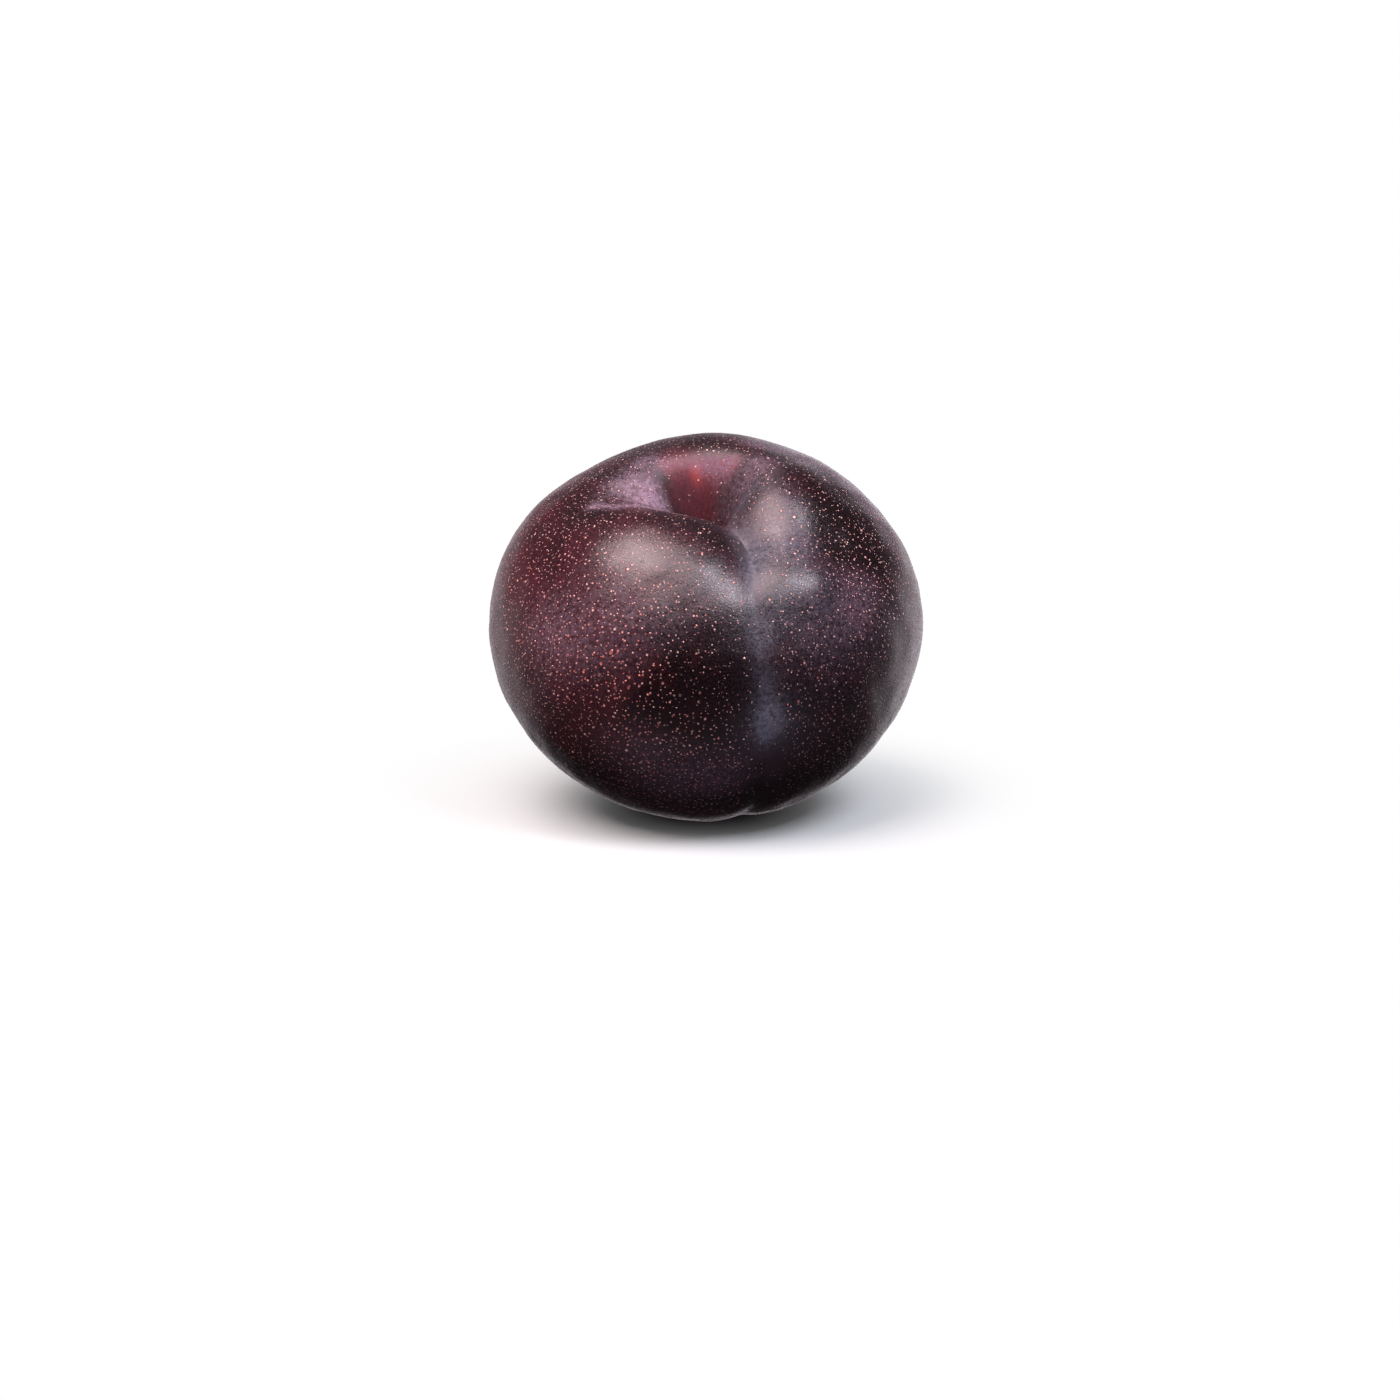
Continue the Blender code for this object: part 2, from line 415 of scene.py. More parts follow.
def patch_sum(turn, polar, patches):
    """The heights or strengths of all the patches, added up at each place."""
    total = np.zeros_like(turn)
    place = direction(turn, polar)
    for middle_turn, middle_polar, spread, peak in patches.values():
        middle = direction(np.radians(middle_turn), np.radians(middle_polar))
        away = np.arccos(np.clip(place @ middle, -1.0, 1.0))
        total += peak * np.exp(-((away / np.radians(spread)) ** 2))
    return total


def line_sum(turn, polar, lines):
    """The strengths of all the lines, added up at each place."""
    total = np.zeros_like(turn)
    place = direction(turn, polar)
    for path, spread, peak in lines.values():
        knots = direction(*np.radians(path).T)
        away = np.full(turn.shape, np.inf)
        for start, step in zip(knots, np.diff(knots, axis=0)):
            share = np.clip((place - start) @ step / (step @ step), 0.0, 1.0)
            away = np.minimum(away, np.linalg.norm(place - start - share[..., None] * step, axis=-1))
        total += peak * np.exp(-((away / np.radians(spread)) ** 2))
    return total


def disc_share(from_axis, radius):
    """How much of a disc round the stem axis there is at a distance from it, from 1 inside to 0 outside."""
    return np.exp(-((from_axis / radius) ** SCAR_POWER))


def notch_share(polar):
    """How much of the notch there is at a polar angle, from 0 to 1."""
    past = np.degrees(polar) - NOTCH_POLAR
    return np.exp(-((past / np.where(past < 0.0, NOTCH_SPREAD_ABOVE, NOTCH_SPREAD_BELOW)) ** 2))


def suture_turn(polar):
    """The suture's turn, in radians: straight down the fruit, with a curl to the right at the notch."""
    return np.radians(SUTURE_TURN + SUTURE_CURL * notch_share(polar))


def from_suture(turn, polar):
    """The angle round the axis from the suture, in radians, and the length that it is along the skin."""
    around = np.angle(np.exp(1j * (turn - suture_turn(polar))))
    return around, WIDTH / 2 * np.sin(polar) * around


def near_suture(turn, polar, reach):
    """How near a place is to the suture, from 0 to 1; it fades out over a reach along the skin."""
    around, across = from_suture(turn, polar)
    return np.exp(-((across / reach) ** 2)) * np.clip(np.cos(around), 0.0, 1.0)


def suture_depth(turn, polar):
    """How far the skin is drawn in along the suture."""
    around, across = from_suture(turn, polar)
    notch_width = np.where(across < 0.0, NOTCH_LEFT_WIDTH, NOTCH_RIGHT_WIDTH)
    notch = NOTCH_DEPTH * notch_share(polar) * np.exp(-((np.abs(across) / notch_width) ** NOTCH_POWER))
    line = LINE_DEPTH * np.exp(-((np.abs(across) / LINE_HALF_WIDTH) ** LINE_POWER))
    ahead = np.clip(np.cos(around), 0.0, 1.0)
    begun = 1.0 - np.exp(-((WIDTH / 2 * np.sin(polar) / SUTURE_START) ** 2))
    return begun * ahead * (notch + line)


def wave_depth(turn, polar):
    """How far the flesh lies below an even surface: many small waves in all directions, up to WAVE_DEPTH."""
    random = np.random.default_rng(WAVE_SEED)
    place = direction(turn, polar) * WIDTH / 2
    waves = np.zeros_like(turn)
    for _ in range(WAVE_COUNT):
        heading = random.normal(size=3)
        heading /= np.linalg.norm(heading)
        length = random.uniform(WAVE_LENGTH_LEAST, WAVE_LENGTH_MOST)
        waves += np.sin(place @ heading * 2 * np.pi / length + random.uniform(0.0, 2 * np.pi))
    return WAVE_DEPTH * (0.5 + 0.5 * np.tanh(waves / np.sqrt(WAVE_COUNT)))


def crease_depth(turn, from_axis):
    """How far the fine creases are cut into the wall of the stem cavity."""
    folds = sum(np.sin(count * turn + count) for count in CREASE_COUNTS) / len(CREASE_COUNTS)
    wall = np.exp(-(((from_axis - CREASE_RADIUS) / CREASE_RADIUS * CREASE_SHARPNESS) ** 2))
    return CREASE_DEPTH * wall * folds


def cavity_depth(turn, along, across):
    """How deep the stem cavity is at a turn and a place along and across the suture."""
    dish_width = np.where(across < 0.0, DISH_LEFT, DISH_RIGHT)
    dish_length = np.where(along < 0.0, DISH_BACK, DISH_FRONT)
    dish_share = np.hypot(along / dish_length, across / dish_width)
    from_axis = np.hypot(along, across)
    depth = DISH_DEPTH * np.exp(-(dish_share**DISH_POWER))
    depth += FUNNEL_DEPTH * np.exp(-((from_axis / FUNNEL_RADIUS) ** FUNNEL_POWER))
    depth -= STEM_SCAR_HEIGHT * disc_share(from_axis, STEM_SCAR_RADIUS)
    return depth + crease_depth(turn, from_axis)


def dimple_depth(from_axis):
    """How deep the dimple at the blossom end is, with the scar that stands in it."""
    depth = BLOSSOM_DIMPLE_DEPTH * np.exp(-((from_axis / BLOSSOM_DIMPLE_RADIUS) ** 2))
    return depth - BLOSSOM_SCAR_HEIGHT * disc_share(from_axis, BLOSSOM_SCAR_RADIUS)


def fruit_points(turn, polar):
    """Points of the skin of the upright fruit, from its middle."""
    radius = np.sin(polar) * (1.0 + SHOULDER_FULLNESS * np.cos(polar))
    x = WIDTH / 2 * radius * np.sin(turn)
    y = -DEPTH / 2 * radius * np.cos(turn)
    z = HEIGHT / 2 * np.cos(polar)
    out = patch_sum(turn, polar, SWELLINGS) - suture_depth(turn, polar) - wave_depth(turn, polar)
    points = np.stack([x, y, z], axis=-1) + out[..., None] * direction(turn, polar)
    ahead_x, ahead_y, _ = direction(np.radians(SUTURE_TURN), np.pi / 2)
    along = points[..., 0] * ahead_x + points[..., 1] * ahead_y
    across = points[..., 1] * ahead_x - points[..., 0] * ahead_y
    cavity = cavity_depth(turn, along, across)
    dimple = dimple_depth(np.hypot(along, across))
    points[..., 2] += np.where(polar < np.pi / 2, -cavity, dimple)
    return points


def leant(points):
    """The points after the fruit leans forward, its stem end towards -Y."""
    angle = np.radians(LEAN)
    x, y, z = np.moveaxis(points, -1, 0)
    back = y * np.cos(angle) - z * np.sin(angle)
    up = y * np.sin(angle) + z * np.cos(angle)
    return np.stack([x, back, up], axis=-1)


def resting_shift(points):
    """The move that brings the leant fruit's outline over the origin and its flat spot to z = 0."""
    low = points.min(axis=0)
    high = points.max(axis=0)
    return -np.array([(low[0] + high[0]) / 2, (low[1] + high[1]) / 2, low[2] + FLAT_SPOT_DEPTH])


def set_down(points, shift):
    """The leant points after the fruit is set on the ground and pressed flat underneath."""
    placed = points + shift
    placed[..., 2] = np.maximum(placed[..., 2], 0.0)
    return placed


def skin_marks(turn, polar, upright):
    """What the materials need to know at each point of the skin, by attribute name."""
    upper = upright[..., 2] > 0.0
    from_axis = np.hypot(upright[..., 0], upright[..., 1])
    hollow = disc_share(from_axis, HOLLOW_RADIUS) - disc_share(from_axis, CAVITY_FLOOR_RADIUS)
    scar_radius = np.where(upper, STEM_SCAR_RADIUS, BLOSSOM_SCAR_RADIUS)
    slate_share = SLATE_OFF_SUTURE + (1.0 - SLATE_OFF_SUTURE) * near_suture(turn, polar, SLATE_HALF_WIDTH)
    return {
        "upright": upright,
        "bloom": patch_sum(turn, polar, BLOOM_SHADE_AND_SHEEN) + line_sum(turn, polar, BLOOM_AND_SHEEN_LINES),
        "slate_bloom": patch_sum(turn, polar, SLATE_BLOOM) * slate_share,
        "redness": patch_sum(turn, polar, REDNESS_AND_SHADE) + REDNESS_EVERYWHERE,
        "flush": line_sum(turn, polar, FLUSH_LINES),
        "flush_spot": patch_sum(turn, polar, FLUSH_SPOT),
        "hollow": np.where(upper, hollow, 0.0),
        "scar": disc_share(from_axis, scar_radius),
    }


def add_attributes(mesh, values):
    """Stores values of the mesh's points under their names, as numbers or as vectors."""
    for name, numbers in values.items():
        kind, field = ("FLOAT_VECTOR", "vector") if numbers.ndim == 2 else ("FLOAT", "value")
        made = mesh.attributes.new(name, kind, "POINT")
        made.data.foreach_set(field, numbers.astype(np.float32).ravel())


def add_object(name, mesh, material):
    """Puts a smooth mesh with its material into the scene, as an object."""
    mesh.shade_smooth()
    mesh.materials.append(material)
    made = bpy.data.objects.new(name, mesh)
    bpy.context.scene.collection.objects.link(made)
    return made


def add_piece(name, points, faces, texture_places, marks, material):
    """Makes an object of points in millimetres, with a place in the texture square for each face corner."""
    mesh = bpy.data.meshes.new(name)
    mesh.from_pydata((points * METRES_PER_MM).tolist(), [], faces)
    layer = mesh.uv_layers.new(name="OFBake")
    layer.data.foreach_set("uv", texture_places.astype(np.float32).ravel())
    add_attributes(mesh, marks)
    return add_object(name, mesh, material)


def ball_grid():
    """Rows and columns of the points of a ball: its top, then ring under ring, then its bottom."""
    rows, columns = np.meshgrid(np.arange(1, ROWS), np.arange(COLUMNS), indexing="ij")
    rows = np.concatenate([[0], rows.ravel(), [ROWS]])
    columns = np.concatenate([[0], columns.ravel(), [0]])
    return rows, columns


def ball_faces():
    """Faces of the ball by the numbers of their corners, and the corners' places in the texture square."""
    faces, places = [], []
    bottom = 1 + (ROWS - 1) * COLUMNS
    for column in range(COLUMNS):
        after = (column + 1) % COLUMNS
        left, middle, right = (column + share for share in (0.0, 0.5, 1.0))
        faces.append((0, 1 + column, 1 + after))
        places += [(middle, 0), (left, 1), (right, 1)]
        for row in range(1, ROWS - 1):
            above = 1 + (row - 1) * COLUMNS
            below = above + COLUMNS
            faces.append((above + column, below + column, below + after, above + after))
            places += [(left, row), (left, row + 1), (right, row + 1), (right, row)]
        faces.append((bottom - COLUMNS + after, bottom - COLUMNS + column, bottom))
        places += [(right, ROWS - 1), (left, ROWS - 1), (middle, ROWS)]
    return faces, np.array(places) / (COLUMNS, ROWS)


def build_skin():
    """The skin, and how far it moved to rest.

    Its columns are drawn together at the suture and its rows at both ends, where the skin bends most.
    """
    rows, columns = ball_grid()
    around = 2 * np.pi * columns / COLUMNS - np.pi
    around -= COLUMN_CROWDING * np.sin(around)
    polar = np.pi * rows / ROWS
    polar -= ROW_CROWDING * np.sin(2 * polar) / 2
    turn = suture_turn(polar) + around
    upright = fruit_points(turn, polar)
    shift = resting_shift(leant(upright))
    points = set_down(leant(upright), shift)
    marks = skin_marks(turn, polar, upright)
    return add_piece("skin", points, *ball_faces(), marks, skin_material()), shift


def scattered(count, jitter, random):
    """Turns and polar angles of places spread evenly over the fruit, each shaken out of line."""
    index = np.arange(count) + 0.5
    polar = np.arccos(1.0 - 2.0 * index / count)
    turn = index * np.pi * GOLDEN_HALF_TURNS
    spacing = np.sqrt(4.0 * np.pi / count)
    place = direction(turn, polar) + random.normal(scale=jitter * spacing, size=(count, 3))
    place /= np.linalg.norm(place, axis=1)[:, None]
    return np.arctan2(place[:, 0], -place[:, 1]), np.arccos(place[:, 2])


def clear_of_others(points, radius):
    """Which lenses to keep so that none of them touches a larger one."""
    tree = KDTree(len(points))
    for number, point in enumerate(points):
        tree.insert(point, number)
    tree.balance()
    keep = np.ones(len(points), dtype=bool)
    reach = 2 * radius.max() + LENS_GAP
    for number in np.argsort(-radius):
        if not keep[number]:
            continue
        for _, other, distance in tree.find_range(points[number], reach):
            if other != number and distance < radius[number] + radius[other] + LENS_GAP:
                keep[other] = keep[other] and radius[other] > radius[number]
    return keep


def place_dots(kind, shift):
    """Turns, polar angles and radii of the dots that have room, and the random numbers they go on with."""
    random = np.random.default_rng(kind.seed)
    turn, polar = scattered(kind.count, kind.jitter, random)
    radius = kind.radius * np.exp(kind.variety * random.normal(size=kind.count))
    radius *= 1.0 + patch_sum(turn, polar, LARGE_DOTS)
    missing = MISSING_AT_SUTURE * near_suture(turn, polar, SUTURE_REACH)
    missing += patch_sum(turn, polar, MISSING_DOTS)
    _, across = from_suture(turn, polar)
    points = leant(fruit_points(turn, polar)) + shift
    keep = random.uniform(size=kind.count) > missing
    keep &= np.abs(across) > SUTURE_CLEARANCE
    keep &= np.abs(polar - np.pi / 2) < np.pi / 2 - np.radians(POLE_CLEARANCE)
    keep &= points[:, 2] > CLEAR_OF_GROUND
    turn, polar, radius, points = (values[keep] for values in (turn, polar, radius, points))
    room = clear_of_others(points, radius)
    return turn[room], polar[room], radius[room], random


def skin_slopes(turn, polar):
    """Unit vectors down the skin and round it, and the slopes that turn lengths along them into angles."""
    down = fruit_points(turn, polar + SLOPE_STEP) - fruit_points(turn, polar - SLOPE_STEP)
    down /= 2 * SLOPE_STEP
    around = fruit_points(turn + SLOPE_STEP, polar) - fruit_points(turn - SLOPE_STEP, polar)
    around /= 2 * SLOPE_STEP
    down_length = np.linalg.norm(down, axis=1)
    down_unit = down / down_length[:, None]
    lean = (around * down_unit).sum(axis=1)
    across = around - lean[:, None] * down_unit
    across_length = np.linalg.norm(across, axis=1)
    return down_unit, across / across_length[:, None], down_length, across_length, lean


def side_angles(sides):
    return 2 * np.pi * np.arange(sides) / sides


def lens_corners(turn, polar, radius, kind):
    """Corners of the lenses, a row for each lens: turns, polar angles, heights and shares of the radius.

    The last value is each lens's way out of the skin.
    """
    down, across, down_length, across_length, lean = skin_slopes(turn, polar)
    layers = [(0.0, kind.top, 1)]
    layers += [(share, height, kind.sides) for share, height in kind.rings]
    layers += [(0.0, LENS_BOTTOM, 1)]
    corners = []
    for share, height, count in layers:
        for angle in side_angles(kind.sides)[:count]:
            along_down = share * radius * np.cos(angle)
            extra_turn = share * radius * np.sin(angle) / across_length
            extra_polar = (along_down - extra_turn * lean) / down_length
            heights = np.full_like(turn, height)
            shares = np.full_like(turn, share)
            corners.append([turn + extra_turn, polar + extra_polar, heights, shares])
    turns, polars, heights, shares = np.stack(corners, axis=-1)
    return turns, polars, heights, shares, np.cross(down, across)


def lens_faces(kind):
    """Faces of one lens by their corners: its top, then its rings from the inside out, then its underside."""
    faces = []
    last = 1 + (len(kind.rings) - 1) * kind.sides
    for side in range(kind.sides):
        after = (side + 1) % kind.sides
        faces.append((0, 1 + side, 1 + after))
        for inner in range(1, last, kind.sides):
            outer = inner + kind.sides
            faces.append((inner + side, outer + side, outer + after, inner + after))
        faces.append((last + after, last + side, last + kind.sides))
    return faces


def lens_texture_places(count, kind, faces):
    """Places of the lenses' face corners in the texture square, which has a cell for each lens."""
    cells = int(np.ceil(np.sqrt(count)))
    angles = side_angles(kind.sides)
    circle = np.stack([np.cos(angles), np.sin(angles)], axis=1)
    centre = [[0.0, 0.0]]
    flat = np.concatenate([centre, *(share * circle for share, _ in kind.rings), centre])
    underside = len(flat) - 1
    corners = []
    for face in faces:
        radius, middle = UNDERSIDE_IN_CELL if underside in face else DOME_IN_CELL
        corners += [flat[corner] * radius + middle for corner in face]
    cell = np.stack([np.arange(count) % cells, np.arange(count) // cells], axis=1)
    return ((cell[:, None, :] + np.array(corners)[None, :, :]) / cells).reshape(-1, 2)


def build_dots(name, kind, material, shift):
    """All the dots of a kind, as one mesh of low closed lenses on the skin."""
    turn, polar, radius, random = place_dots(kind, shift)
    strength = random.normal(kind.strength, kind.strength_variety, len(turn))
    strength += patch_sum(turn, polar, STRONG_DOTS)
    coral = random.normal(CORAL_SHARE, CORAL_VARIETY, len(turn)) + patch_sum(turn, polar, CORAL_DOTS)
    turns, polars, heights, shares, outward = lens_corners(turn, polar, radius, kind)
    each = turns.shape[1]
    upright = fruit_points(turns.ravel(), polars.ravel())
    lifted = upright + heights.reshape(-1, 1) * np.repeat(outward, each, axis=0)
    marks = skin_marks(turns.ravel(), polars.ravel(), upright)
    marks["from_centre"] = shares.ravel()
    marks["strength"] = np.repeat(np.clip(strength, kind.least_strength, 1.0), each)
    marks["coral"] = np.repeat(np.clip(coral, 0.0, 1.0), each)
    lens = lens_faces(kind)
    faces = [[first + corner for corner in face] for first in range(0, turns.size, each) for face in lens]
    places = lens_texture_places(len(turn), kind, lens)
    return add_piece(name, set_down(leant(lifted), shift), faces, places, marks, material)


def add_node(tree, kind, inputs=None, **settings):
    """Adds a shader node. inputs gives an input's value, or the socket that feeds it, by name or number."""
    made = tree.nodes.new(kind)
    for name, value in settings.items():
        setattr(made, name, value)
    for name, value in (inputs or {}).items():
        if isinstance(value, bpy.types.NodeSocket):
            tree.links.new(value, made.inputs[name])
        else:
            made.inputs[name].default_value = value
    return made


def attribute(tree, name, output="Fac"):
    return add_node(tree, "ShaderNodeAttribute", attribute_name=name).outputs[output]


def maths(tree, operation, first, *others):
    """Sockets or numbers taken together by one operation, from the first to the last."""
    for other in others:
        first = add_node(tree, "ShaderNodeMath", {0: first, 1: other}, operation=operation).outputs[0]
    return first


def remap(tree, value, low=0.0, high=1.0, to_low=0.0, to_high=1.0):
    """The value brought from one range to another, smoothly, and held within it."""
    inputs = {"Value": value, "From Min": low, "From Max": high, "To Min": to_low, "To Max": to_high}
    return add_node(tree, "ShaderNodeMapRange", inputs, interpolation_type="SMOOTHSTEP").outputs["Result"]


def mix_colours(tree, share, first, second):
    inputs = {MIX_SHARE: share, MIX_FIRST: first, MIX_SECOND: second}
    return add_node(tree, "ShaderNodeMix", inputs, data_type="RGBA").outputs[MIX_RESULT]


def noise(tree, place, scale, detail, roughness):
    """Smooth noise between 0 and 1; the scale is in grains for each millimetre."""
    inputs = {"Vector": place, "Scale": scale, "Detail": detail, "Roughness": roughness}
    return add_node(tree, "ShaderNodeTexNoise", inputs).outputs["Fac"]


def stretched(tree, place, factors):
    inputs = {0: place, 1: factors}
    return add_node(tree, "ShaderNodeVectorMath", inputs, operation="MULTIPLY").outputs["Vector"]


def bloom_shade_and_sheen_layers(tree, streaks, granules, fine):
    """How much bloom, with its painted shade and sheen, dust of bloom and slate-coloured bloom there is."""
    film_shade_and_sheen = maths(tree, "ADD", attribute(tree, "bloom"), THIN_BLOOM)
    by_granules = remap(tree, granules, *BLOOM_BY_GRANULES)
    by_streaks = remap(tree, streaks, *BLOOM_BY_STREAKS)
    bloom = maths(tree, "MINIMUM", maths(tree, "MULTIPLY", by_granules, by_streaks, film_shade_and_sheen), 1.0)
    by_film = remap(tree, film_shade_and_sheen, *DUST_BY_FILM)
    dust = maths(tree, "MULTIPLY", by_film, remap(tree, fine, *DUST_BY_FINE_GRAIN))
    by_fine = remap(tree, fine, *SLATE_BY_FINE_GRAIN)
    by_granules = remap(tree, granules, *SLATE_BY_GRANULES)
    slate = maths(tree, "MULTIPLY", by_fine, by_granules, attribute(tree, "slate_bloom"))
    return bloom, dust, maths(tree, "MINIMUM", slate, 1.0)


def skin_shading(tree):
    """Adds the nodes of the skin and returns its colour, roughness and bump."""
    place = attribute(tree, "upright", "Vector")
    streaks = noise(tree, stretched(tree, place, STREAK_STRETCH), *STREAKS)
    patches = noise(tree, place, *PATCHES)
    granules = noise(tree, place, *GRANULES)
    fine = noise(tree, place, *FINE_GRAIN)

    by_patches = remap(tree, patches, *REDNESS_BY_PATCHES)
    by_streaks = remap(tree, streaks, *REDNESS_BY_STREAKS)
    # Redness carries painted shade too, where it is lowered
    redness = maths(tree, "ADD", by_patches, by_streaks, attribute(tree, "redness"))
    flush = maths(tree, "MULTIPLY", attribute(tree, "flush"), remap(tree, streaks, *FLUSH_BY_STREAKS))
    bloom, dust, slate = bloom_shade_and_sheen_layers(tree, streaks, granules, fine)
    colour = mix_colours(tree, remap(tree, redness), DARK_SKIN, RED_SKIN)
    layers = [
        (remap(tree, flush), FLUSH_COLOUR),
        (remap(tree, attribute(tree, "flush_spot")), FLUSH_SPOT_COLOUR),
        # The bloom layer carries painted shade and a painted sheen as well
        (bloom, BLOOM_AND_SHEEN_COLOUR),
        (dust, BLOOM_AND_SHEEN_COLOUR),
        (slate, SLATE_BLOOM_COLOUR),
        (attribute(tree, "scar"), SCAR_COLOUR),
    ]
    for share, layer_colour in layers:
        colour = mix_colours(tree, share, colour, layer_colour)

    by_bloom = remap(tree, maths(tree, "MAXIMUM", bloom, slate), *ROUGHNESS_BY_BLOOM)
    by_fine = remap(tree, fine, *ROUGHNESS_BY_FINE_GRAIN)
    by_hollow = remap(tree, attribute(tree, "hollow"), *ROUGHNESS_BY_HOLLOW)
    roughness = maths(tree, "ADD", by_bloom, by_fine, by_hollow)

    coarse_height = maths(tree, "MULTIPLY", granules, BUMP_BY_GRANULES)
    fine_height = maths(tree, "MULTIPLY", fine, BUMP_BY_FINE_GRAIN)
    height = maths(tree, "ADD", coarse_height, fine_height)
    inputs = {"Strength": 1.0, "Distance": BUMP_HEIGHT * METRES_PER_MM, "Height": height}
    bump = add_node(tree, "ShaderNodeBump", inputs)
    return colour, roughness, bump.outputs["Normal"]


def new_material(name):
    """A new material, its node tree and its Principled shader."""
    material = bpy.data.materials.new(name)
    material.use_nodes = True
    return material, material.node_tree, material.node_tree.nodes["Principled BSDF"]


def feed(tree, shader, colour, roughness, normal, ior):
    tree.links.new(colour, shader.inputs["Base Color"])
    tree.links.new(roughness, shader.inputs["Roughness"])
    tree.links.new(normal, shader.inputs["Normal"])
    shader.inputs["IOR"].default_value = ior


def skin_material():
    material, tree, shader = new_material("pluot_skin")
    feed(tree, shader, *skin_shading(tree), SKIN_IOR)
    return material


def dot_share(tree, by_distance):
    """How strongly a dot shows, by its own strength and the distance from its middle."""
    faded = remap(tree, attribute(tree, "from_centre"), *by_distance)
    return maths(tree, "MULTIPLY", attribute(tree, "strength"), faded)


def dot_colour(tree):
    return mix_colours(tree, attribute(tree, "coral"), PALE_DOT, CORAL_DOT)


def lenticel_material():
    """Pale cores that go over, through a red-brown ring, into the skin round them."""
    material, tree, shader = new_material("pluot_lenticels")
    colour, roughness, normal = skin_shading(tree)
    core = dot_share(tree, LENTICEL_CORE_BY_DISTANCE)
    colour = mix_colours(tree, dot_share(tree, LENTICEL_RING_BY_DISTANCE), colour, HALO_COLOUR)
    colour = mix_colours(tree, core, colour, dot_colour(tree))
    roughness = maths(tree, "MAXIMUM", roughness, remap(tree, core, *ROUGHNESS_BY_CORE))
    feed(tree, shader, colour, roughness, normal, LENTICEL_IOR)
    return material


def speck_material():
    """Faint dots without a ring."""
    material, tree, shader = new_material("pluot_specks")
    colour, roughness, normal = skin_shading(tree)
    colour = mix_colours(tree, dot_share(tree, SPECK_CORE_BY_DISTANCE), colour, dot_colour(tree))
    feed(tree, shader, colour, roughness, normal, SPECK_IOR)
    return material


def camera_axes():
    """Unit vectors to the right of the picture, up it, and back out of it towards the camera."""
    elevation = np.radians(CAMERA_ELEVATION)
    right = Vector((1.0, 0.0, 0.0))
    up = Vector((0.0, np.sin(elevation), np.cos(elevation)))
    back = Vector((0.0, -np.cos(elevation), np.sin(elevation)))
    return right, up, back


def add_camera(middle):
    """Adds the camera, which sees the fruit's middle at FRUIT_PIXEL of the square picture."""
    right, up, back = camera_axes()
    metres_per_pixel = SENSOR_WIDTH / CAMERA_LENS * CAMERA_DISTANCE / PICTURE_WIDTH
    pixels_right = FRUIT_PIXEL[0] - PICTURE_WIDTH / 2
    pixels_down = FRUIT_PIXEL[1] - PICTURE_WIDTH / 2
    target = middle - right * pixels_right * metres_per_pixel + up * pixels_down * metres_per_pixel
    data = bpy.data.cameras.new("camera")
    data.lens = CAMERA_LENS
    data.sensor_width = SENSOR_WIDTH
    camera = bpy.data.objects.new("camera", data)
    camera.location = target + back * CAMERA_DISTANCE
    camera.rotation_euler = (-back).to_track_quat("-Z", "Y").to_euler()
    bpy.context.scene.collection.objects.link(camera)
    bpy.context.scene.camera = camera


def add_soft_boxes(middle):
    right, up, back = camera_axes()
    for name, (way, distance, size, power, colour) in SOFT_BOXES.items():
        heading = (right * way[0] + up * way[1] + back * way[2]).normalized()
        data = bpy.data.lights.new(name, "AREA")
        data.size = size
        data.energy = power
        data.color = colour
        box = bpy.data.objects.new(name, data)
        box.location = middle + heading * distance
        box.rotation_euler = heading.to_track_quat("Z", "Y").to_euler()
        bpy.context.scene.collection.objects.link(box)


def studio_colour(tree):
    """The studio's colour by the way to it: dark in front, pale behind and at table height, dim below."""
    way = add_node(tree, "ShaderNodeTexCoord").outputs["Generated"]
    x, y, z = add_node(tree, "ShaderNodeSeparateXYZ", {"Vector": way}).outputs
    lit = remap(tree, z, *LIT_BY_Z)
    back = maths(tree, "MULTIPLY", lit, remap(tree, y, *BACK_BY_Y), remap(tree, z, *BACK_BY_Z))
    table = maths(tree, "MULTIPLY", lit, remap(tree, y, *TABLE_BY_Y), remap(tree, z, *TABLE_BY_Z))
    table = maths(tree, "MULTIPLY", table, remap(tree, x, *TABLE_BY_X))
    floor = maths(tree, "MULTIPLY", remap(tree, z, *FLOOR_BY_Z), remap(tree, y, *FLOOR_BY_Y))
    colour = mix_colours(tree, back, STUDIO_FRONT, STUDIO_BACK)
    colour = mix_colours(tree, floor, colour, STUDIO_FLOOR)
    return mix_colours(tree, table, colour, STUDIO_TABLE)


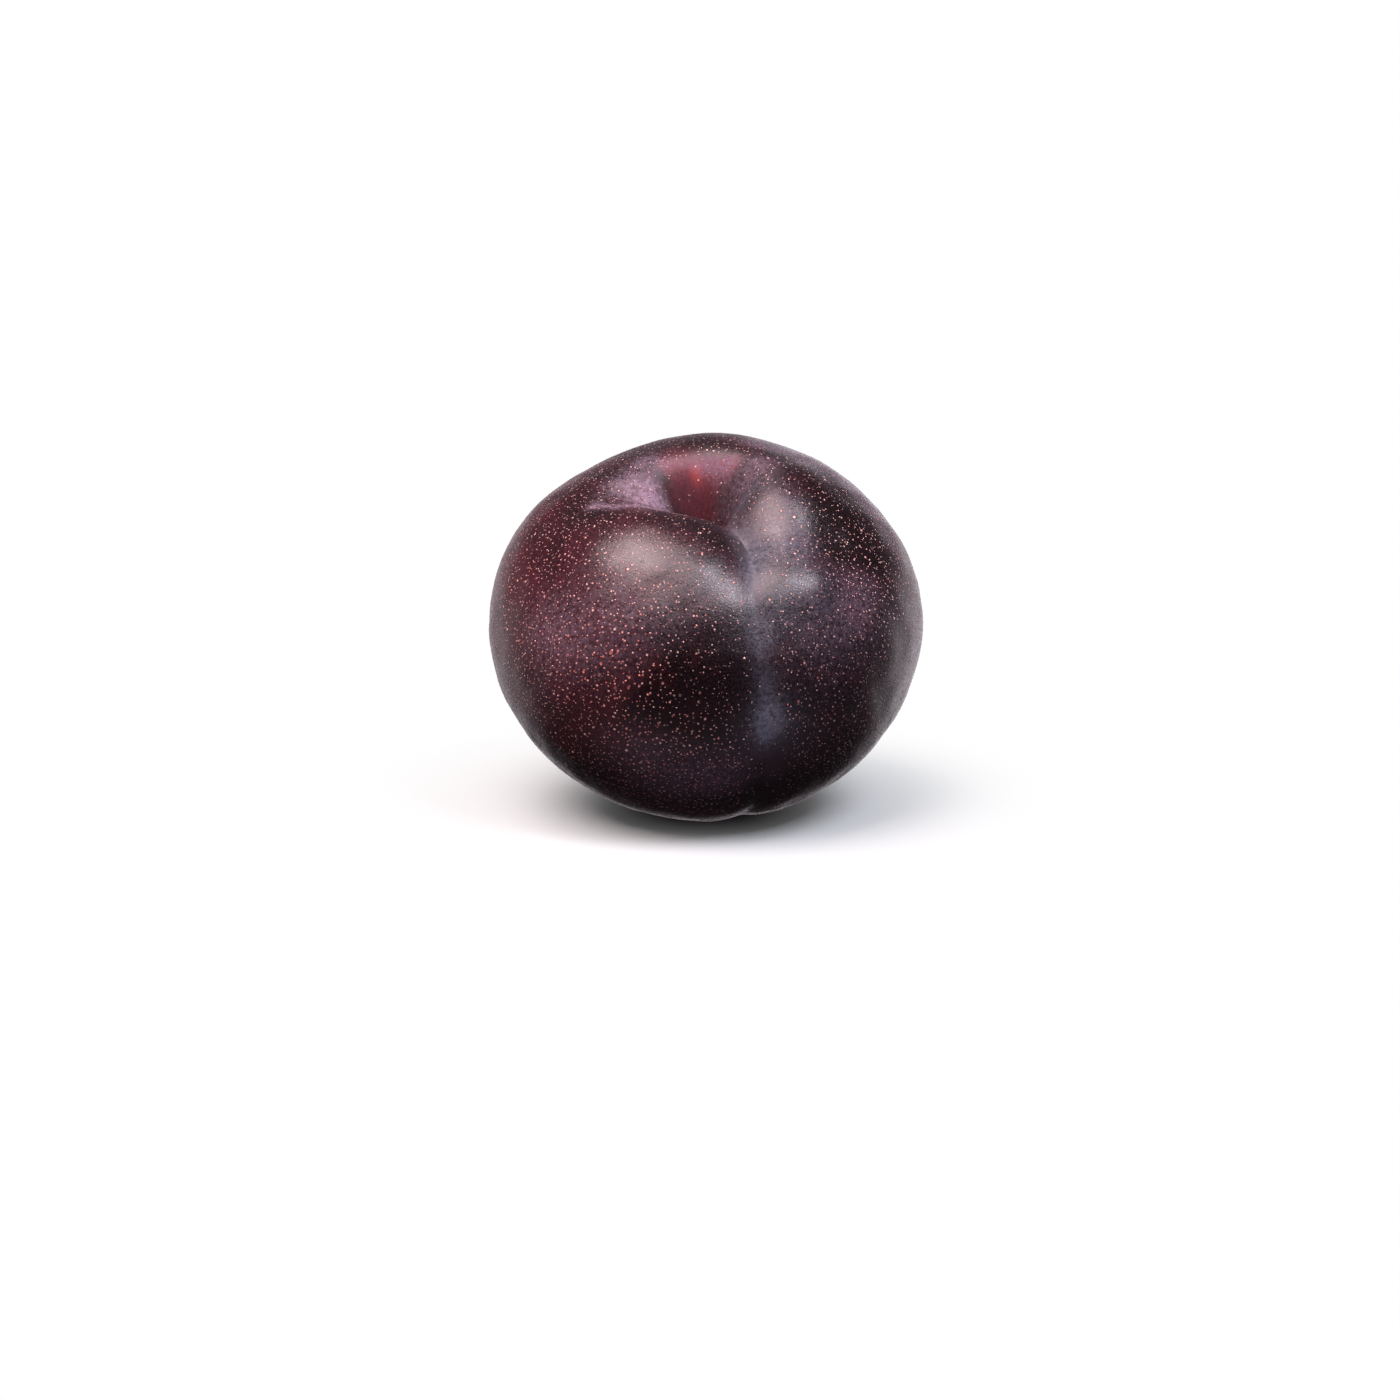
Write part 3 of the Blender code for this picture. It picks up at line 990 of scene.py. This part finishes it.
def add_world():
    """Adds a white backdrop, which the camera sees, and the studio that lights the fruit."""
    world = bpy.data.worlds.new("studio")
    world.use_nodes = True
    tree = world.node_tree
    studio = tree.nodes["Background"]
    tree.links.new(studio_colour(tree), studio.inputs["Color"])
    backdrop = add_node(tree, "ShaderNodeBackground", {"Color": WHITE})
    seen = add_node(tree, "ShaderNodeLightPath").outputs["Is Camera Ray"]
    both = add_node(tree, "ShaderNodeMixShader", {0: seen, 1: studio.outputs[0], 2: backdrop.outputs[0]})
    tree.links.new(both.outputs[0], tree.nodes["World Output"].inputs["Surface"])
    bpy.context.scene.world = world


def paper_material():
    """Pale paper round the fruit that goes over into pure white further out."""
    material, tree, shader = new_material("floor")
    shader.inputs["Base Color"].default_value = PAPER_COLOUR
    shader.inputs["Roughness"].default_value = PAPER_ROUGHNESS
    place = add_node(tree, "ShaderNodeTexCoord").outputs["Object"]
    distance = add_node(tree, "ShaderNodeVectorMath", {0: place}, operation="LENGTH").outputs["Value"]
    white = add_node(tree, "ShaderNodeEmission", {"Color": WHITE})
    share = remap(tree, distance, *WHITE_BY_DISTANCE)
    both = add_node(tree, "ShaderNodeMixShader", {0: share, 1: shader.outputs[0], 2: white.outputs[0]})
    tree.links.new(both.outputs[0], tree.nodes["Material Output"].inputs["Surface"])
    return material


def add_floor():
    """Adds the paper as the stage's floor, which neither lights nor shades the fruit."""
    disc = bmesh.new()
    bmesh.ops.create_circle(disc, cap_ends=True, segments=PAPER_SEGMENTS, radius=PAPER_RADIUS)
    mesh = bpy.data.meshes.new("floor")
    disc.to_mesh(mesh)
    disc.free()
    floor = add_object("floor", mesh, paper_material())
    floor.visible_glossy = False
    floor.visible_diffuse = False
    floor.visible_shadow = False


skin, shift = build_skin()
lenticels = build_dots("lenticels", LENTICELS, lenticel_material(), shift)
specks = build_dots("specks", SPECKS, speck_material(), shift)
for piece in (skin, lenticels, specks):
    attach(piece, "root")
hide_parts("pluot")
fruit_middle = (cad_box[0] + cad_box[1]) / 2
add_camera(fruit_middle)
add_soft_boxes(fruit_middle)
add_world()
add_floor()
bpy.context.scene.view_settings.view_transform = "Standard"
